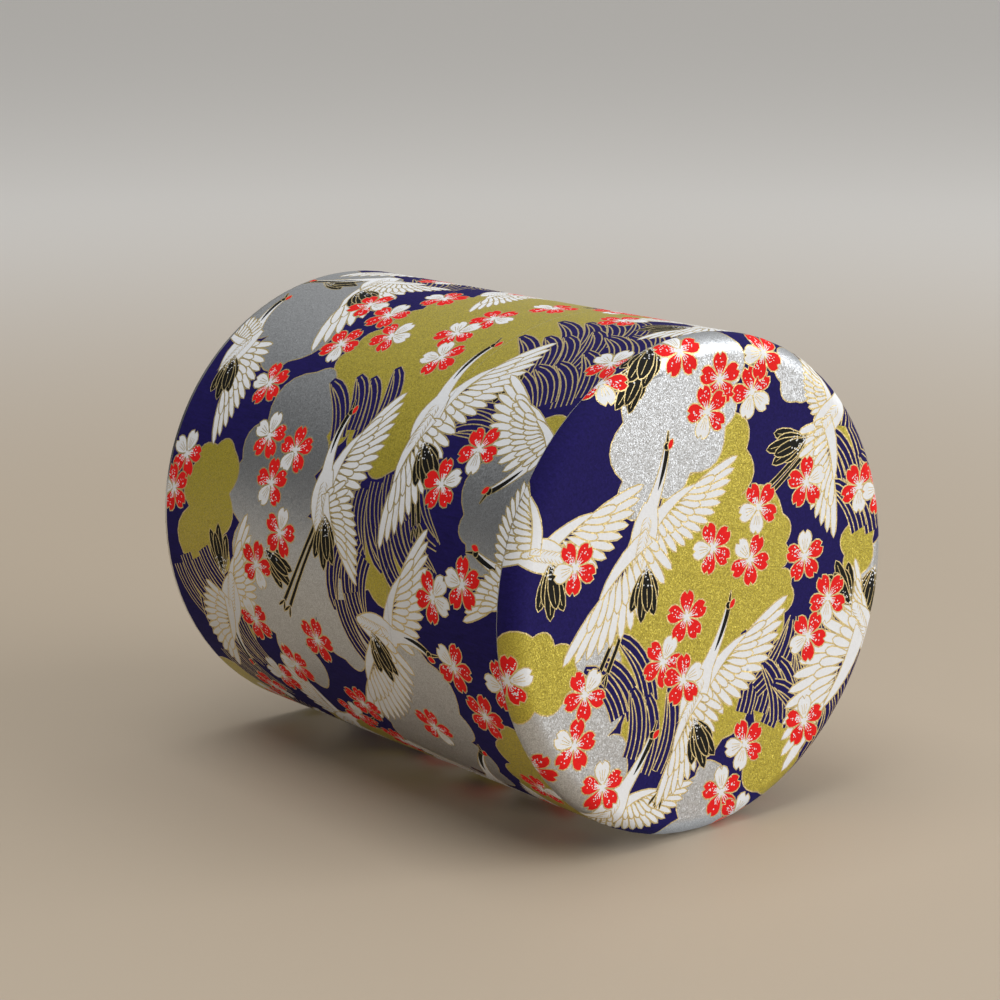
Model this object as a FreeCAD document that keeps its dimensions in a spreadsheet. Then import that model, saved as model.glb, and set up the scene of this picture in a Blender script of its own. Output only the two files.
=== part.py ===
"""Round paper-covered tin tea caddy with a slip-on outer lid and a plug-in inner lid.

Millimetres. The caddy stands on its base: the origin is the middle of the base, +Z runs up the axis to the lid.
Every tin and paper piece is turned about that axis from a half section. The driving sizes are in the sheet
"Sizes"; the radii and heights that follow from them are in the sheet "Places".
"""

import FreeCAD
import Part
import Sketcher

import math
import os

DRIVING_SIZES = [
    ("outer_diameter", 77.0),      # over the paper
    ("total_height", 92.0),        # base rim to the top of the lid
    ("lid_height", 29.4),          # join to the top of the lid
    ("join_gap", 0.15),            # hairline between the lid's edge and the body's shoulder
    ("paper_thickness", 0.25),     # printed paper with its glue
    ("glue_line", 0.03),           # paper to the tin behind it
    ("paper_joint", 0.1),          # hairline where the top paper meets the side paper
    ("paper_overlap", 7.0),        # width of the glued lap where a side paper closes on itself
    ("seam_azimuth", 205.0),       # degrees; side seam and paper laps are in line at the back
    ("tin_thickness", 0.35),
    ("slide_clearance", 0.25),     # radial, lid over neck and plug in neck
    ("seat_clearance", 0.05),      # radial, between tin pieces that are pressed or soldered together
    ("shoulder_radius", 3.0),      # rounded edge of the lid's top, over the paper
    ("top_paper_turn", 0.3),       # straight length of the top paper below the shoulder
    ("top_plate_straight", 0.7),   # straight length of the top plate below the shoulder
    ("top_skirt_depth", 3.6),      # part of the top plate that plugs into the lid wall
    ("neck_height", 20.0),         # neck above the join
    ("neck_hem_depth", 4.0),       # folded hem inside the mouth
    ("weld_width", 0.5),           # side seam of the inner can
    ("weld_depth", 0.12),
    ("base_rim_height", 0.9),      # bare rim under the body paper
    ("base_rim_inset", 0.1),       # rim to the face of the paper
    ("base_rim_round", 0.4),
    ("base_recess", 2.0),          # hollow under the bottom plate
    ("dish_depth", 6.5),           # inner lid, lip to pan
    ("dish_round", 1.5),           # inside corner of the pan
    ("lip_round", 0.5),            # corner between the dish and its lip
    ("lip_inset", 0.15),           # lip to the outside of the neck
    ("knob_diameter", 13.0),
    ("knob_foot_diameter", 8.0),
    ("knob_height", 5.0),
    ("knob_edge_round", 1.5),
    ("rivet_diameter", 2.4),
    ("rivet_head_diameter", 4.6),
    ("rivet_head_height", 0.6),
    ("rivet_head_round", 0.4),
]

PLACES = [
    # radii of the walls, from the outside in
    ("paper_face", "Sizes.outer_diameter / 2"),
    ("paper_back", "paper_face - Sizes.paper_thickness"),
    ("lap_face", "paper_face + Sizes.paper_thickness"),
    ("wall_face", "paper_back - Sizes.glue_line"),
    ("wall_back", "wall_face - Sizes.tin_thickness"),
    ("neck_face", "wall_back - Sizes.slide_clearance"),
    ("neck_back", "neck_face - Sizes.tin_thickness"),
    ("hem_back", "neck_back - Sizes.tin_thickness"),
    ("shoulder_bore", "neck_face + Sizes.seat_clearance"),
    ("weld_floor", "neck_face - Sizes.weld_depth"),
    # base
    ("rim_face", "paper_face - Sizes.base_rim_inset"),
    ("rim_flat", "rim_face - Sizes.base_rim_round"),
    ("base_ring_face", "neck_back - Sizes.seat_clearance"),
    ("base_ring_back", "base_ring_face - Sizes.tin_thickness"),
    ("base_top", "Sizes.base_recess + Sizes.tin_thickness"),
    # body
    ("body_paper_bottom", "Sizes.base_rim_height + Sizes.paper_joint"),
    ("join_level", "Sizes.total_height - Sizes.lid_height"),
    ("shoulder_under", "join_level - Sizes.tin_thickness"),
    ("neck_top", "join_level + Sizes.neck_height"),
    ("hem_round_level", "neck_top - Sizes.tin_thickness"),
    ("hem_bottom", "neck_top - Sizes.neck_hem_depth"),
    # outer lid
    ("lid_bottom", "join_level + Sizes.join_gap"),
    ("shoulder_start", "paper_face - Sizes.shoulder_radius"),
    ("shoulder_level", "Sizes.total_height - Sizes.shoulder_radius"),
    ("top_paper_under", "Sizes.total_height - Sizes.paper_thickness"),
    ("top_paper_edge", "shoulder_level - Sizes.top_paper_turn"),
    ("side_paper_top", "top_paper_edge - Sizes.paper_joint"),
    ("plate_top", "top_paper_under - Sizes.glue_line"),
    ("plate_under", "plate_top - Sizes.tin_thickness"),
    ("plate_edge", "shoulder_level - Sizes.top_plate_straight"),
    ("plate_step", "plate_edge + Sizes.tin_thickness"),
    ("skirt_face", "wall_back - Sizes.seat_clearance"),
    ("skirt_back", "skirt_face - Sizes.tin_thickness"),
    ("skirt_bottom", "plate_edge - Sizes.top_skirt_depth"),
    # inner lid
    ("lip_face", "neck_face - Sizes.lip_inset"),
    ("lip_under", "neck_top + Sizes.seat_clearance"),
    ("lip_top", "lip_under + Sizes.tin_thickness"),
    ("lip_round_level", "lip_top - Sizes.lip_round"),
    ("dish_face", "hem_back - Sizes.slide_clearance"),
    ("dish_back", "dish_face - Sizes.tin_thickness"),
    ("lip_flat", "dish_back + Sizes.lip_round"),
    ("pan_top", "lip_top - Sizes.dish_depth"),
    ("pan_under", "pan_top - Sizes.tin_thickness"),
    ("pan_flat", "dish_back - Sizes.dish_round"),
    ("pan_round_level", "pan_top + Sizes.dish_round"),
    # knob and rivet
    ("rivet_face", "Sizes.rivet_diameter / 2"),
    ("rivet_bore", "rivet_face + Sizes.seat_clearance"),
    ("knob_face", "Sizes.knob_diameter / 2"),
    ("knob_foot", "Sizes.knob_foot_diameter / 2"),
    ("knob_waist_level", "pan_top + knob_face - knob_foot"),
    ("knob_top", "pan_top + Sizes.knob_height"),
    ("knob_round_level", "knob_top - Sizes.knob_edge_round"),
    ("knob_flat", "knob_face - Sizes.knob_edge_round"),
    ("head_face", "Sizes.rivet_head_diameter / 2"),
    ("head_flat", "head_face - Sizes.rivet_head_round"),
    ("head_bottom", "pan_under - Sizes.rivet_head_height"),
    ("head_bottom_round_level", "head_bottom + Sizes.rivet_head_round"),
    ("head_top", "knob_top + Sizes.rivet_head_height"),
    ("head_top_round_level", "head_top - Sizes.rivet_head_round"),
    # angles that the lap and the seam cover, in degrees
    ("lap_sweep", "Sizes.paper_overlap / paper_face * 180 / pi"),
    ("weld_sweep", "Sizes.weld_width / neck_face * 180 / pi"),
]

FULL_TURN = 360.0
ON_AXIS = "axis"
ON_GROUND = "ground"
ORIGIN_POINT = (-1, 1)
GROUND_LINE = -1
AXIS_LINE = -2
START, END, CENTRE = 1, 2, 3


def fill_sheet(doc, name, rows):
    """A sheet with one aliased cell for each row of (alias, content)."""
    sheet = doc.addObject("Spreadsheet::Sheet", name)
    for number, (alias, content) in enumerate(rows, start=1):
        sheet.set(f"A{number}", alias)
        sheet.set(f"B{number}", content)
        sheet.setAlias(f"B{number}", alias)
    return sheet


doc = FreeCAD.newDocument("tea_caddy")
sizes = fill_sheet(doc, "Sizes", [(alias, str(number)) for alias, number in DRIVING_SIZES])
doc.recompute()
places = fill_sheet(doc, "Places", [(alias, "=" + formula) for alias, formula in PLACES])
doc.recompute()
size_names = {alias for alias, number in DRIVING_SIZES}


def value(alias):
    """The number that a cell of either sheet holds now."""
    if alias in (ON_AXIS, ON_GROUND):
        return 0.0
    return float((sizes if alias in size_names else places).get(alias))


def cell(alias):
    """The expression that binds a dimension to a cell of either sheet."""
    return ("Sizes." if alias in size_names else "Places.") + alias


def origin_plane(body, role):
    return next(plane for plane in body.Origin.OriginFeatures if plane.Role == role)


def arc(radius_alias, height_alias):
    """A round stretch of a half section, named by its centre."""
    return ("arc", radius_alias, height_alias)


def place_point(sketch, geometry, point, radius_alias, height_alias):
    """Bind one point of a half section to its radius and its height."""
    if radius_alias == ON_AXIS:
        sketch.addConstraint(Sketcher.Constraint("PointOnObject", geometry, point, AXIS_LINE))
    else:
        across = Sketcher.Constraint("DistanceX", *ORIGIN_POINT, geometry, point, value(radius_alias))
        sketch.setExpression(f"Constraints[{sketch.addConstraint(across)}]", cell(radius_alias))
    if height_alias == ON_GROUND:
        sketch.addConstraint(Sketcher.Constraint("PointOnObject", geometry, point, GROUND_LINE))
    else:
        upward = Sketcher.Constraint("DistanceY", *ORIGIN_POINT, geometry, point, value(height_alias))
        sketch.setExpression(f"Constraints[{sketch.addConstraint(upward)}]", cell(height_alias))


def half_section(body, name, outline):
    """A closed sketch through the corners of outline; arc(...) between two corners rounds that side."""
    sketch = body.newObject("Sketcher::SketchObject", name)
    sketch.AttachmentSupport = (origin_plane(body, "XZ_Plane"), [""])
    sketch.MapMode = "FlatFace"
    corners = [item for item in outline if item[0] != "arc"]
    centres = {}
    for position, item in enumerate(outline):
        if item[0] == "arc":
            centres[sum(1 for earlier in outline[:position] if earlier[0] != "arc") - 1] = item[1:]

    # each side starts at its own corner; an arc that turns clockwise is stored end first
    first_points = []
    last_points = []
    for side, corner in enumerate(corners):
        following = corners[(side + 1) % len(corners)]
        here = FreeCAD.Vector(value(corner[0]), value(corner[1]), 0)
        there = FreeCAD.Vector(value(following[0]), value(following[1]), 0)
        if side not in centres:
            sketch.addGeometry(Part.LineSegment(here, there))
            first_points.append(START)
            last_points.append(END)
            continue
        centre = FreeCAD.Vector(value(centres[side][0]), value(centres[side][1]), 0)
        circle = Part.Circle(centre, FreeCAD.Vector(0, 0, 1), (here - centre).Length)
        from_angle = math.atan2(here.y - centre.y, here.x - centre.x)
        to_angle = math.atan2(there.y - centre.y, there.x - centre.x)
        clockwise = (here - centre).cross(there - centre).z < 0
        if clockwise:
            sketch.addGeometry(Part.ArcOfCircle(circle, to_angle, from_angle))
        else:
            sketch.addGeometry(Part.ArcOfCircle(circle, from_angle, to_angle))
        first_points.append(END if clockwise else START)
        last_points.append(START if clockwise else END)

    for side, corner in enumerate(corners):
        following = (side + 1) % len(corners)
        joined = Sketcher.Constraint("Coincident", side, last_points[side], following, first_points[following])
        sketch.addConstraint(joined)
    for side, corner in enumerate(corners):
        place_point(sketch, side, first_points[side], *corner)
    for side, (radius_alias, height_alias) in centres.items():
        across = Sketcher.Constraint("DistanceX", *ORIGIN_POINT, side, CENTRE, value(radius_alias))
        sketch.setExpression(f"Constraints[{sketch.addConstraint(across)}]", cell(radius_alias))
    return sketch


def turn(body, feature_type, name, outline, sweep_alias=None):
    """Turn a half section about the axis: all the way round, or by sweep_alias centred on the XZ plane."""
    sketch = half_section(body, name + "_section", outline)
    feature = body.newObject(feature_type, name)
    feature.Profile = sketch
    feature.ReferenceAxis = (sketch, ["V_Axis"])
    if sweep_alias is None:
        feature.Angle = FULL_TURN
    else:
        feature.Angle = value(sweep_alias)
        feature.setExpression("Angle", cell(sweep_alias))
        feature.Midplane = True
    return feature


def new_piece(label):
    body = doc.addObject("PartDesign::Body", label)
    body.Label = label
    return body


def face_the_seam(body):
    """Turn a piece so that its lap or seam, drawn at +X, lies at the seam's azimuth."""
    body.Placement = FreeCAD.Placement(FreeCAD.Vector(), FreeCAD.Vector(0, 0, 1), value("seam_azimuth"))
    body.setExpression("Placement.Rotation.Angle", cell("seam_azimuth"))


def ring(inner, outer, bottom, top):
    """Outline of a plain band between two radii and two heights."""
    return [(inner, bottom), (outer, bottom), (outer, top), (inner, top)]


def bottom_plate():
    """Pressed base: a raised floor, a ring inside the can and the bare rim that everything stands on."""
    body = new_piece("bottom_plate")
    turn(body, "PartDesign::Revolution", "base", [
        (ON_AXIS, "base_recess"),
        ("base_ring_back", "base_recess"),
        ("base_ring_back", ON_GROUND),
        ("rim_flat", ON_GROUND),
        arc("rim_flat", "base_rim_round"),
        ("rim_face", "base_rim_round"),
        ("rim_face", "base_rim_height"),
        ("base_ring_face", "base_rim_height"),
        ("base_ring_face", "base_top"),
        (ON_AXIS, "base_top"),
    ])
    return body


def inner_can():
    """Rolled tube that holds the tea; its mouth is folded inwards to a round hem, and its side is soldered."""
    body = new_piece("inner_can")
    wall = turn(body, "PartDesign::Revolution", "can_wall", [
        ("neck_back", "base_rim_height"),
        ("neck_face", "base_rim_height"),
        ("neck_face", "hem_round_level"),
        arc("neck_back", "hem_round_level"),
        ("neck_back", "neck_top"),
        arc("neck_back", "hem_round_level"),
        ("hem_back", "hem_round_level"),
        ("hem_back", "hem_bottom"),
        ("neck_back", "hem_bottom"),
    ])
    seam = turn(body, "PartDesign::Groove", "side_seam",
                ring("weld_floor", "paper_face", "base_rim_height", "neck_top"), "weld_sweep")
    face_the_seam(body)
    doc.recompute()
    if seam.Shape.Volume >= wall.Shape.Volume:
        raise RuntimeError("the side seam cuts nothing out of the inner can")
    return body


def outer_sleeve():
    """Tube round the lower can; its top edge turns in to the neck and makes the shoulder under the lid."""
    body = new_piece("outer_sleeve")
    turn(body, "PartDesign::Revolution", "sleeve_wall", [
        ("wall_back", "base_rim_height"),
        ("wall_face", "base_rim_height"),
        ("wall_face", "join_level"),
        ("shoulder_bore", "join_level"),
        ("shoulder_bore", "shoulder_under"),
        ("wall_back", "shoulder_under"),
    ])
    return body


def side_paper(label, bottom, top):
    """Printed paper round a tube, closed by a lap of double thickness."""
    body = new_piece(label)
    turn(body, "PartDesign::Revolution", label + "_wrap", ring("paper_back", "paper_face", bottom, top))
    turn(body, "PartDesign::Revolution", label + "_lap", ring("paper_back", "lap_face", bottom, top), "lap_sweep")
    face_the_seam(body)
    return body


def lid_wall():
    body = new_piece("lid_wall")
    turn(body, "PartDesign::Revolution", "lid_tube", ring("wall_back", "wall_face", "lid_bottom", "plate_edge"))
    return body


def lid_top_plate():
    """Pressed top with a rounded shoulder, stepped in below it to plug into the lid wall."""
    body = new_piece("lid_top_plate")
    turn(body, "PartDesign::Revolution", "pressed_top", [
        (ON_AXIS, "plate_top"),
        ("shoulder_start", "plate_top"),
        arc("shoulder_start", "shoulder_level"),
        ("wall_face", "shoulder_level"),
        ("wall_face", "plate_edge"),
        ("skirt_face", "plate_edge"),
        ("skirt_face", "skirt_bottom"),
        ("skirt_back", "skirt_bottom"),
        ("skirt_back", "plate_step"),
        ("wall_back", "plate_step"),
        ("wall_back", "shoulder_level"),
        arc("shoulder_start", "shoulder_level"),
        ("shoulder_start", "plate_under"),
        (ON_AXIS, "plate_under"),
    ])
    return body


def lid_top_paper():
    """Printed disc, drawn down over the shoulder to meet the side paper."""
    body = new_piece("lid_top_paper")
    turn(body, "PartDesign::Revolution", "top_sheet", [
        (ON_AXIS, "total_height"),
        ("shoulder_start", "total_height"),
        arc("shoulder_start", "shoulder_level"),
        ("paper_face", "shoulder_level"),
        ("paper_face", "top_paper_edge"),
        ("paper_back", "top_paper_edge"),
        ("paper_back", "shoulder_level"),
        arc("shoulder_start", "shoulder_level"),
        ("shoulder_start", "top_paper_under"),
        (ON_AXIS, "top_paper_under"),
    ])
    return body


def inner_lid_dish():
    """Pressed dish that plugs the mouth, with a lip over the hem and a hole for the rivet."""
    body = new_piece("inner_lid_dish")
    turn(body, "PartDesign::Revolution", "dish", [
        ("rivet_bore", "pan_top"),
        ("pan_flat", "pan_top"),
        arc("pan_flat", "pan_round_level"),
        ("dish_back", "pan_round_level"),
        ("dish_back", "lip_round_level"),
        arc("lip_flat", "lip_round_level"),
        ("lip_flat", "lip_top"),
        ("lip_face", "lip_top"),
        ("lip_face", "lip_under"),
        ("dish_face", "lip_under"),
        ("dish_face", "pan_round_level"),
        arc("pan_flat", "pan_round_level"),
        ("pan_flat", "pan_under"),
        ("rivet_bore", "pan_under"),
    ])
    return body


def inner_lid_knob():
    """Turned knob with a hollow waist and a rounded top."""
    body = new_piece("inner_lid_knob")
    turn(body, "PartDesign::Revolution", "knob", [
        ("rivet_bore", "pan_top"),
        ("knob_foot", "pan_top"),
        arc("knob_face", "pan_top"),
        ("knob_face", "knob_waist_level"),
        ("knob_face", "knob_round_level"),
        arc("knob_flat", "knob_round_level"),
        ("knob_flat", "knob_top"),
        ("rivet_bore", "knob_top"),
    ])
    return body


def knob_rivet():
    """Rivet through the knob and the dish, with a round head at each end."""
    body = new_piece("knob_rivet")
    turn(body, "PartDesign::Revolution", "rivet", [
        (ON_AXIS, "head_bottom"),
        ("head_flat", "head_bottom"),
        arc("head_flat", "head_bottom_round_level"),
        ("head_face", "head_bottom_round_level"),
        ("head_face", "pan_under"),
        ("rivet_face", "pan_under"),
        ("rivet_face", "knob_top"),
        ("head_face", "knob_top"),
        ("head_face", "head_top_round_level"),
        arc("head_flat", "head_top_round_level"),
        ("head_flat", "head_top"),
        (ON_AXIS, "head_top"),
    ])
    return body


pieces = [
    bottom_plate(),
    inner_can(),
    outer_sleeve(),
    side_paper("body_paper", "body_paper_bottom", "join_level"),
    lid_wall(),
    lid_top_plate(),
    side_paper("lid_side_paper", "lid_bottom", "side_paper_top"),
    lid_top_paper(),
    inner_lid_dish(),
    inner_lid_knob(),
    knob_rivet(),
]
doc.recompute()

for item in doc.Objects:
    if "Invalid" in item.State or "Error" in item.State:
        raise RuntimeError(f"{item.Label} failed to recompute: {item.State}")
for piece in pieces:
    if piece.Shape.isNull() or not piece.Shape.isValid():
        raise RuntimeError(f"{piece.Label} has no valid shape")
    if len(piece.Shape.Solids) != 1:
        raise RuntimeError(f"{piece.Label} has {len(piece.Shape.Solids)} solids instead of one")

os.makedirs("parts", exist_ok=True)
for piece in pieces:
    piece.Shape.exportStep(f"parts/{piece.Label}.step")
    box = piece.Shape.optimalBoundingBox()
    print(f"{piece.Label}: {piece.Shape.Volume:.1f} mm3, z {box.ZMin:.2f} to {box.ZMax:.2f},"
          f" x {box.XMin:.2f} to {box.XMax:.2f}")
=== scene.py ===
# %% [markdown]
# # A paper-covered tin tea caddy
#
# The caddy is a tin can with a deep slip-on lid, covered with printed paper: cranes, cherry blossoms,
# clouds and streams in white, red, black, gold and silver on navy. The tin pieces come from the CAD model
# and only get better finishes. The paper is made here, because its print is what the eye sees first.

# %% Load the frame
import math
import random

import bpy
from mathutils import Matrix, Vector
from mathutils.bvhtree import BVHTree
from mathutils.geometry import delaunay_2d_cdt


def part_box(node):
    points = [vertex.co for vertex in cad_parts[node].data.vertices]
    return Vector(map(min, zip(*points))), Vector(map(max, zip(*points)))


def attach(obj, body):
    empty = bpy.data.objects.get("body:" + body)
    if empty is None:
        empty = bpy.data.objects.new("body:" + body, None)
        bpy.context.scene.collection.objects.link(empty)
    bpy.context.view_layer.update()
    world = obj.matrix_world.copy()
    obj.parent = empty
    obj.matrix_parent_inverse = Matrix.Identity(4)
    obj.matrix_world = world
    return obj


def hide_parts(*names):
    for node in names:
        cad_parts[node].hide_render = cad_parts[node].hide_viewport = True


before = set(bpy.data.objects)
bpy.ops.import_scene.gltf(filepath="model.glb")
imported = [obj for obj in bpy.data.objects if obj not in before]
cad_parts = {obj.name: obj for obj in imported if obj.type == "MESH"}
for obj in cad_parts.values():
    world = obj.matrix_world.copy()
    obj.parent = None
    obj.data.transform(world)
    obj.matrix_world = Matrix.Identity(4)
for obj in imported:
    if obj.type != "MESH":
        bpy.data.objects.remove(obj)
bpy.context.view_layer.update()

MM = 0.001

# %% [markdown]
# ## Sizes that the print needs
#
# The frame knows where each paper starts and ends, so the heights and the radius are read from it. The
# rounded edge of the lid and the paper's thickness and lap are written down here, as they are on the real
# caddy.

# %% Read the caddy's sizes, in millimetres
top_low, top_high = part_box("lid_top_paper")
lid_low, lid_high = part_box("lid_side_paper")
body_low, body_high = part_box("body_paper")
RADIUS = top_high.x / MM
TOP = top_high.z / MM
TOP_EDGE = top_low.z / MM
SHOULDER = 3.0
PAPER = 0.25
LAP_WIDTH = 7.0
LAP_AZIMUTH = 205.0
UP_AZIMUTH = 315.0
print(f"radius {RADIUS:.2f} mm, top at {TOP:.2f} mm, papers meet at {TOP_EDGE:.2f} mm")

# %% [markdown]
# ## Camera
#
# The photograph shows the caddy lying on its side with the lid towards us, but the model stands upright
# in its own frame. So the camera is turned instead of the caddy: its place and its directions are written
# along the caddy's axis, across it, and along the floor's upward normal. The eye's place is counted in
# radii of the caddy from the middle of the lid.

# %% Place the camera
CAMERA_AZIMUTH = -39.05
CAMERA_ELEVATION = 12.56
LENS = 94.445
EYE_IN_RADII = (7.1695, -6.8700, 2.5603)
up_turn = math.radians(UP_AZIMUTH)
AXIS = Vector((0, 0, 1))
FLOOR_UP = Vector((math.cos(up_turn), math.sin(up_turn), 0))
ACROSS = FLOOR_UP.cross(AXIS)


def in_floor_axes(along, across, up):
    return AXIS * along + ACROSS * across + FLOOR_UP * up


camera_data = bpy.data.cameras.new("photo_camera")
camera_data.sensor_width = 36.0
camera_data.lens = LENS
camera_data.clip_start = 0.01
camera_data.clip_end = 50.0
camera = bpy.data.objects.new("photo_camera", camera_data)
bpy.context.scene.collection.objects.link(camera)
swing = math.radians(CAMERA_AZIMUTH)
level = math.cos(math.radians(CAMERA_ELEVATION))
rise = math.sin(math.radians(CAMERA_ELEVATION))
camera_right = in_floor_axes(-math.sin(swing), math.cos(swing), 0)
camera_back = in_floor_axes(level * math.cos(swing), level * math.sin(swing), rise)
camera_up = camera_back.cross(camera_right)
camera_turn = Matrix((camera_right, camera_up, camera_back)).transposed().to_4x4()
eye = AXIS * TOP * MM + in_floor_axes(*EYE_IN_RADII) * RADIUS * MM
camera.matrix_world = Matrix.Translation(eye) @ camera_turn
bpy.context.scene.camera = camera
print("camera at", [round(value, 4) for value in eye])

# %% [markdown]
# ## Small helpers for materials
#
# Shader nodes are wired by name here, so a few short helpers keep the cells readable: they make a node
# and fill in its sockets, wire two nodes, carry one range of values to another, and start a node group.
# Two effects below make a colour lighter and darker over the surface, so that wiring is a helper too.

# %% Node helpers
COLOUR = "NodeSocketColor"
VALUE = "NodeSocketFloat"
VECTOR = "NodeSocketVector"
RANGE_SOCKETS = ("From Min", "From Max", "To Min", "To Max")


def add_node(tree, kind, sockets=None, **settings):
    made = tree.nodes.new(kind)
    for name, value in settings.items():
        setattr(made, name, value)
    for name, value in (sockets or {}).items():
        made.inputs[name].default_value = value
    return made


def wire(tree, source, output, target, socket):
    tree.links.new(source.outputs[output], target.inputs[socket])


def ranged(tree, *limits):
    """A node that carries a value from one range to another; limits are in the order of RANGE_SOCKETS."""
    return add_node(tree, "ShaderNodeMapRange", dict(zip(RANGE_SOCKETS, limits)))


def new_group(name, inputs, outputs):
    """A node group; inputs and outputs are (name, socket type) pairs."""
    tree = bpy.data.node_groups.new(name, "ShaderNodeTree")
    for label, kind in inputs:
        tree.interface.new_socket(label, in_out="INPUT", socket_type=kind)
    for label, kind in outputs:
        tree.interface.new_socket(label, in_out="OUTPUT", socket_type=kind)
    return tree, tree.nodes.new("NodeGroupInput"), tree.nodes.new("NodeGroupOutput")


def spread_colour(tree, group_in, spread, source, output, low, high):
    """The group's Colour, darker to lighter by its input named spread as an output runs from low to high."""
    shade = ranged(tree, low, high)
    tint = add_node(tree, "ShaderNodeVectorMath", operation="SCALE")
    for operation, socket in (("SUBTRACT", "To Min"), ("ADD", "To Max")):
        end = add_node(tree, "ShaderNodeMath", {0: 1.0}, operation=operation)
        wire(tree, group_in, spread, end, 1)
        wire(tree, end, "Value", shade, socket)
    wire(tree, source, output, shade, "Value")
    wire(tree, group_in, "Colour", tint, "Vector")
    wire(tree, shade, "Result", tint, "Scale")
    return tint


print("groups pass on", COLOUR, VALUE, "and", VECTOR)

# %% [markdown]
# ## Paper tooth
#
# Handmade paper is never quite even: long fibres lie across each other and take the ink a little lighter
# or darker. Two noises give that, a fine one for the tooth and a stretched one for the fibres, and both
# also lift the surface a few hundredths of a millimetre.

# %% Node group: paper tooth
tooth, tooth_in, tooth_out = new_group("paper_tooth", [("Colour", COLOUR), ("Mottle", VALUE)],
                                       [("Base Color", COLOUR), ("Normal", VECTOR)])
place = add_node(tooth, "ShaderNodeTexCoord")
fine = add_node(tooth, "ShaderNodeTexNoise", {"Scale": 3200.0, "Detail": 3.0, "Roughness": 0.6})
stretch = add_node(tooth, "ShaderNodeMapping", {"Scale": (1.0, 1.0, 0.16), "Rotation": (0.5, 0.3, 0.0)})
fibre = add_node(tooth, "ShaderNodeTexNoise", {"Scale": 2400.0, "Detail": 2.0, "Distortion": 0.6})
both = add_node(tooth, "ShaderNodeMath", operation="ADD")
lift = add_node(tooth, "ShaderNodeBump", {"Strength": 0.35, "Distance": 0.00004})
wire(tooth, place, "Object", fine, "Vector")
wire(tooth, place, "Object", stretch, "Vector")
wire(tooth, stretch, "Vector", fibre, "Vector")
wire(tooth, fine, "Fac", both, 0)
wire(tooth, fibre, "Fac", both, 1)
wire(tooth, both, "Value", lift, "Height")
tint = spread_colour(tooth, tooth_in, "Mottle", both, "Value", 0.6, 1.4)
wire(tooth, tint, "Vector", tooth_out, "Base Color")
wire(tooth, lift, "Normal", tooth_out, "Normal")
print("paper_tooth:", len(tooth.nodes), "nodes")

# %% [markdown]
# ## Metal flakes
#
# The gold and silver areas are printed with bronze and aluminium powder, so they sparkle in grains of
# about a tenth of a millimetre. Voronoi cells are a good stand-in for flakes: each cell gets its own
# brightness, and its own small tilt, so that neighbouring flakes catch different lights.

# %% Node group: metal flakes
flakes, flakes_in, flakes_out = new_group(
    "metal_flakes", [("Colour", COLOUR), ("Contrast", VALUE), ("Tilt", VALUE)],
    [("Base Color", COLOUR), ("Normal", VECTOR)])
place = add_node(flakes, "ShaderNodeTexCoord")
surface = add_node(flakes, "ShaderNodeNewGeometry")
cells = add_node(flakes, "ShaderNodeTexVoronoi", {"Scale": 8200.0, "Randomness": 1.0})
split = add_node(flakes, "ShaderNodeSeparateColor")
centred = add_node(flakes, "ShaderNodeVectorMath", {1: (0.5, 0.5, 0.5)}, operation="SUBTRACT")
tilted = add_node(flakes, "ShaderNodeVectorMath", operation="SCALE")
leaning = add_node(flakes, "ShaderNodeVectorMath", operation="ADD")
unit = add_node(flakes, "ShaderNodeVectorMath", operation="NORMALIZE")
wire(flakes, place, "Object", cells, "Vector")
wire(flakes, cells, "Color", split, "Color")
wire(flakes, cells, "Color", centred, 0)
wire(flakes, centred, "Vector", tilted, "Vector")
wire(flakes, flakes_in, "Tilt", tilted, "Scale")
wire(flakes, surface, "Normal", leaning, 0)
wire(flakes, tilted, "Vector", leaning, 1)
wire(flakes, leaning, "Vector", unit, "Vector")
tint = spread_colour(flakes, flakes_in, "Contrast", split, "Red", 0.0, 1.0)
wire(flakes, tint, "Vector", flakes_out, "Base Color")
wire(flakes, unit, "Vector", flakes_out, "Normal")
print("metal_flakes:", len(flakes.nodes), "nodes")

# %% [markdown]
# ## Tin grain
#
# Rolled tinplate keeps fine lines from the mill along its length, and pressed or turned tin has rings
# about its axis. One group makes both: the noise is stretched along the caddy's height, or along circles,
# and Rings picks which. Roughness follows the same lines, which is what makes bare metal look brushed.

# %% Node group: tin grain
ROLLED_SCALE = (110.0, 60.0, 1.0)
RINGED_SCALE = (3800.0, 3800.0, 1.0)
grain, grain_in, grain_out = new_group(
    "tin_grain", [("Colour", COLOUR), ("Rings", VALUE)],
    [("Base Color", COLOUR), ("Roughness", VALUE), ("Normal", VECTOR)])
place = add_node(grain, "ShaderNodeTexCoord")
split = add_node(grain, "ShaderNodeSeparateXYZ")
angle = add_node(grain, "ShaderNodeMath", operation="ARCTAN2")
flat = add_node(grain, "ShaderNodeCombineXYZ")
reach = add_node(grain, "ShaderNodeVectorMath", operation="LENGTH")
pick = add_node(grain, "ShaderNodeMix", data_type="VECTOR")
lines = add_node(grain, "ShaderNodeTexNoise", {"Scale": 1.0, "Detail": 4.0, "Roughness": 0.65})
stains = add_node(grain, "ShaderNodeTexNoise", {"Scale": 90.0, "Detail": 3.0})
shade = ranged(grain, 0.3, 0.7, 0.9, 1.06)
tint = add_node(grain, "ShaderNodeVectorMath", operation="SCALE")
rough = add_node(grain, "ShaderNodeMath", operation="ADD")
lift = add_node(grain, "ShaderNodeBump", {"Strength": 0.25, "Distance": 0.00001})
wire(grain, place, "Object", split, "Vector")
wire(grain, place, "Object", stains, "Vector")
wire(grain, split, "Y", angle, 0)
wire(grain, split, "X", angle, 1)
wire(grain, split, "X", flat, "X")
wire(grain, split, "Y", flat, "Y")
wire(grain, flat, "Vector", reach, 0)
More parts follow.
